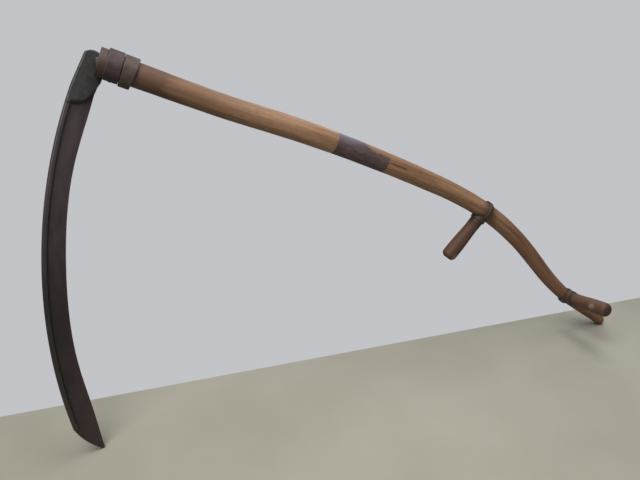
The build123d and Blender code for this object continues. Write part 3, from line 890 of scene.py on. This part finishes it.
def grip_material(name, worn):
    """Reddish hardwood of a grip; worn is the place in its grain where the polish has gone."""
    n = Nodes(name)
    grain = n.attribute("grain", "Vector")
    fibre, _, drift, rings = wood_grain(n, grain, 0.0026, (0, 0.009, 0.004))
    dark, mid, light = (0.072, 0.036, 0.023), (0.112, 0.057, 0.036), (0.162, 0.086, 0.056)
    colour = n.ramp(drift, (0.3, dark), (0.52, mid), (0.75, light))
    colour = n.layer(colour, n.after(rings, 0.4, 1.0), 0.6, (0.075, 0.036, 0.024))
    colour = n.layer(colour, n.after(fibre, 0.46, 0.70), 0.5, (0.055, 0.028, 0.020))
    blotch = n.noise(grain, (50, 70, 70), 5, 0.62)
    far = n.add("ShaderNodeVectorMath", operation="DISTANCE")
    n.put(far.inputs[0], grain)
    far.inputs[1].default_value = worn
    worn_place = n.minus(1.0, n.math("DIVIDE", far.outputs["Value"], 0.016))
    bare = n.after(n.uneven(worn_place, blotch, 2.0), 0.15, 0.95)
    colour = n.layer(colour, bare, 0.55, (0.33, 0.25, 0.19))
    # Dirt at the foot and painted shade at the rounded end.
    soiled_and_shaded = n.after(n.uneven(n.attribute("dirt_and_shade"), blotch, 1.2), 0.2, 0.95)
    colour = n.layer(colour, soiled_and_shaded, 0.8, (0.05, 0.032, 0.026))
    roughness = n.plus(n.plus(n.times(fibre, 0.2), n.times(soiled_and_shaded, 0.2)), 0.44, clamp=True)
    height = n.plus(n.times(fibre, -0.7), n.times(blotch, 0.4))
    return n.finish(colour, roughness, height, specular=0.24)


def blade_material():
    n = Nodes("blade_steel")
    grain = n.attribute("grain", "Vector")
    along, from_back, _ = n.axes(grain)
    cloud = n.noise(grain, (14, 38, 60), 5, 0.6)
    fine = n.noise(grain, (300, 420, 420), 5, 0.65)
    drawn = n.noise(grain, (16, 900, 300), 4, 0.6)
    spots = n.noise(grain, (260, 300, 300), 3, 0.6)
    dark, mid, light = (0.024, 0.020, 0.022), (0.042, 0.033, 0.035), (0.066, 0.047, 0.045)
    colour = n.ramp(cloud, (0.28, dark), (0.5, mid), (0.74, light))
    # Greyer and lighter behind the heel, dark along the middle, redder towards the tip and the edge.
    grey = n.ramp(cloud, (0.3, (0.085, 0.068, 0.074)), (0.7, (0.150, 0.110, 0.110)))
    colour = n.layer(colour, n.before(along, 0.10, 0.50), 0.8, grey)
    middle = n.times(n.after(along, 0.36, 0.50), n.before(along, 0.60, 0.72))
    colour = n.layer(colour, middle, 0.5, (0.024, 0.017, 0.017))
    toward_tip = n.times(n.after(along, 0.50, 0.78), n.after(cloud, 0.35, 0.65))
    colour = n.layer(colour, toward_tip, 0.5, (0.070, 0.036, 0.032))
    colour = n.layer(colour, n.after(from_back, 0.030, 0.047), 0.35, (0.070, 0.036, 0.034))
    colour = n.layer(colour, n.after(fine, 0.5, 0.8), 0.5, (0.018, 0.014, 0.014))
    colour = n.layer(colour, n.after(drawn, 0.52, 0.8), 0.35, (0.085, 0.074, 0.074))
    rust = n.after(n.plus(spots, n.times(n.after(along, 0.35, 0.7), 0.05)), 0.67, 0.74)
    colour = n.layer(colour, rust, 0.6, (0.125, 0.070, 0.042))
    skin = n.noise(grain, (60, 60, 60), 6, 0.65)
    dark, mid, light = (0.036, 0.038, 0.040), (0.066, 0.069, 0.071), (0.100, 0.098, 0.094)
    pad = n.ramp(skin, (0.3, dark), (0.52, mid), (0.75, light))
    colour = n.layer(colour, n.attribute("heel"), 0.85, pad)
    polished = n.after(n.uneven(n.attribute("wear"), fine, 0.9), 0.30, 1.0)
    colour = n.layer(colour, polished, 0.7, (0.095, 0.094, 0.086))
    # Painted shade in the rib's groove and below the pad's step.
    colour = n.layer(colour, n.attribute("crease_shade"), 0.85, (0.008, 0.006, 0.006))
    metallic = n.plus(n.plus(n.times(polished, 0.35), n.times(rust, -0.4)), 0.42, clamp=True)
    roughness = n.plus(n.plus(n.times(fine, 0.35), n.times(polished, -0.14)), 0.36, clamp=True)
    height = n.minus(n.plus(n.times(fine, 0.5), n.times(drawn, 0.25)), n.times(rust, 0.5))
    return n.finish(colour, roughness, height, 0.45, metallic)


def iron_material(name, dark, mid, rust, light, scale=1.0, rusty=0.62, lip=None):
    """Old cast or wrought iron: brown skin, rust blooms, painted shade in the creases and lighter rubbed corners.

    A lip colour is laid over the first 14 mm or so along the snath.
    """
    n = Nodes(name)
    place = n.place()
    cloud = n.noise(place, 55 * scale, 5, 0.62)
    fine = n.noise(place, 520 * scale, 5, 0.68)
    bloom = n.noise(place, 130 * scale, 6, 0.7, 0.6)
    colour = n.ramp(cloud, (0.30, dark), (0.56, mid), (0.80, tuple(c * 1.35 for c in mid)))
    colour = n.layer(colour, n.after(fine, 0.48, 0.75), 0.45, tuple(c * 0.5 for c in dark))
    if lip:
        beyond = n.after(n.uneven(n.attribute("along"), bloom, 0.012), 0.011, 0.017)
        colour = n.mix(n.minus(0.9, n.times(beyond, 0.9)), colour, lip)
    rusted = n.after(bloom, rusty, rusty + 0.12)
    colour = n.layer(colour, rusted, 0.75, rust)
    rubbed = n.after(n.uneven(n.attribute("wear"), fine, 0.9), 0.35, 1.1)
    colour = n.layer(colour, rubbed, 0.7, light)
    # Painted shade in the creases.
    colour = n.layer(colour, n.attribute("crease_shade"), 0.6, tuple(c * 0.35 for c in dark))
    metallic = n.plus(0.25, n.times(rubbed, 0.4), clamp=True)
    roughness = n.plus(0.42, n.times(fine, 0.38), clamp=True)
    height = n.plus(n.times(fine, 0.6), n.times(rusted, 0.4))
    return n.finish(colour, roughness, height, metallic=metallic, specular=0.4)


def floor_material():
    n = Nodes("pale_floor")
    colour = n.ramp(n.noise(n.place(), 2.2), (0.3, (0.315, 0.298, 0.245)), (0.7, (0.375, 0.358, 0.30)))
    return n.finish(colour, 0.75, specular=0.2)


# --- the pieces ---
def dress(piece, material, body, node):
    piece.data.materials.clear()
    piece.data.materials.append(material)
    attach(piece, body)
    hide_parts(node)


def show(node, material):
    """Shows a small CAD part as it is, in this material."""
    for place in frame["nodes"][node].material_slots:
        place.material = material


nib_iron = iron_material(
    "nib_iron", (0.042, 0.029, 0.023), (0.082, 0.057, 0.044), (0.12, 0.06, 0.036), (0.14, 0.105, 0.082)
)
ferrule_iron = iron_material(
    "ferrule_iron", (0.038, 0.026, 0.026), (0.072, 0.050, 0.050), (0.14, 0.07, 0.04), (0.13, 0.10, 0.09),
    scale=0.8, lip=(0.082, 0.056, 0.043),
)
ring_iron = iron_material(
    "ring_iron", (0.055, 0.037, 0.033), (0.098, 0.070, 0.060), (0.14, 0.070, 0.042), (0.15, 0.12, 0.10),
    scale=0.8, rusty=0.64,
)
plate_iron = iron_material(
    "plate_iron", (0.05, 0.036, 0.03), (0.09, 0.062, 0.05), (0.20, 0.085, 0.04), (0.21, 0.17, 0.14)
)
small_steel = iron_material(
    "small_steel", (0.045, 0.034, 0.030), (0.09, 0.066, 0.058), (0.18, 0.08, 0.04), (0.25, 0.21, 0.18),
    scale=2.0,
)

dress(make_snath(), snath_material(), "snath_body", "snath")
dress(make_blade(), blade_material(), "snath_body", "blade")
end_ferrule = forged("end_ferrule", "end_ferrule_cast", 0.7, 61)
dress(end_ferrule, ferrule_iron, "snath_body", "end_ferrule")
heel_plate = forged("heel_plate", "heel_plate_flat", 0.6, 67, smooth=2, rough=0.05)
dress(heel_plate, plate_iron, "snath_body", "heel_plate")
heel_ring = forged("heel_ring", "heel_ring_wrought", 0.7, 71, wedge=5.5)
dress(heel_ring, ring_iron, "heel_ring", "heel_ring")

# For each nib, the place in its grip's grain where the polish has gone, and its surfaces' seeds.
for nib, worn, loop_seed, saddle_seed, grip_seed in (
    ("lower", (0.105, 0.004, 0.012), 81, 85, 31),
    ("upper", (0.074, -0.016, -0.007), 91, 95, 47),
):
    loop = forged(f"{nib}_nib_loop", f"{nib}_nib_loop_forged", 0.55, loop_seed, smooth=3, rough=0.06)
    saddle = forged(f"{nib}_nib_saddle", f"{nib}_nib_saddle_cast", 0.55, saddle_seed, smooth=3, rough=0.08)
    dress(loop, nib_iron, f"{nib}_loop", f"{nib}_nib_loop")
    dress(saddle, nib_iron, f"{nib}_saddle", f"{nib}_nib_saddle")
    grip_wood = grip_material(f"{nib}_grip_wood", worn)
    dress(make_grip(nib, grip_seed), grip_wood, f"{nib}_grip", f"{nib}_nib_grip")
    show(f"{nib}_nib_grip_ferrule", nib_iron)
    show(f"{nib}_nib_grip_nut", small_steel)
show("ferrule_nails", small_steel)
show("heel_plate_screws", small_steel)


# --- floor, light and camera ---
def flat_floor():
    left, right, near, far = -2.0, 2.0, -1.6, 0.115
    corners = [(left, near, 0), (right, near, 0), (right, far, 0), (left, far, 0)]
    mesh = bpy.data.meshes.new("floor")
    mesh.from_pydata(corners, [], [(0, 1, 2, 3)])
    mesh.materials.append(floor_material())
    new_object("floor", mesh)


def area_light(name, place, aim, size, power, colour):
    data = bpy.data.lights.new(name, "AREA")
    data.shape = "RECTANGLE"
    data.size, data.size_y = size
    data.energy = power
    data.color = colour
    light = new_object(name, data)
    light.location = place
    light.rotation_euler = (Vector(aim) - Vector(place)).to_track_quat("-Z", "Y").to_euler()


def studio():
    """A pale background that lights the tool only a little, and three soft lights."""
    world = bpy.data.worlds.new("studio")
    bpy.context.scene.world = world
    world.use_nodes = True
    tree = world.node_tree
    tree.nodes.clear()
    seen, lit = (tree.nodes.new("ShaderNodeBackground") for _ in range(2))
    seen.inputs["Color"].default_value = (0.54, 0.55, 0.575, 1)
    lit.inputs["Color"].default_value = (0.86, 0.92, 1.0, 1)
    lit.inputs["Strength"].default_value = 0.18
    path = tree.nodes.new("ShaderNodeLightPath")
    both = tree.nodes.new("ShaderNodeMixShader")
    out = tree.nodes.new("ShaderNodeOutputWorld")
    tree.links.new(path.outputs["Is Camera Ray"], both.inputs[0])
    tree.links.new(lit.outputs[0], both.inputs[1])
    tree.links.new(seen.outputs[0], both.inputs[2])
    tree.links.new(both.outputs[0], out.inputs["Surface"])
    area_light("key", (-1.2, -1.1, 2.6), (0, 0, 0.35), (1.4, 1.4), 66, (1.0, 0.97, 0.92))
    area_light("top", (0.5, -0.1, 2.6), (0.2, 0, 0.3), (2.2, 1.0), 30, (0.96, 0.98, 1.0))
    area_light("back", (1.4, 2.0, 1.8), (0, 0, 0.35), (1.6, 1.6), 14, (0.95, 0.97, 1.0))


def photo_camera():
    """The camera from the front, left of the tool's middle and looking a little down."""
    yaw, pitch, roll = -18.63, -20.26, -0.2
    data = bpy.data.cameras.new("camera")
    data.lens = 31.5
    data.sensor_width = 36.0
    camera = new_object("camera", data)
    level = turn(yaw, "Z") @ turn(90 + pitch, "X")
    camera.matrix_world = Matrix.Translation((-0.5173, -1.0660, 0.7811)) @ level @ turn(roll, "Z")
    bpy.context.scene.camera = camera


flat_floor()
studio()
photo_camera()
bpy.context.scene.view_settings.view_transform = "Standard"
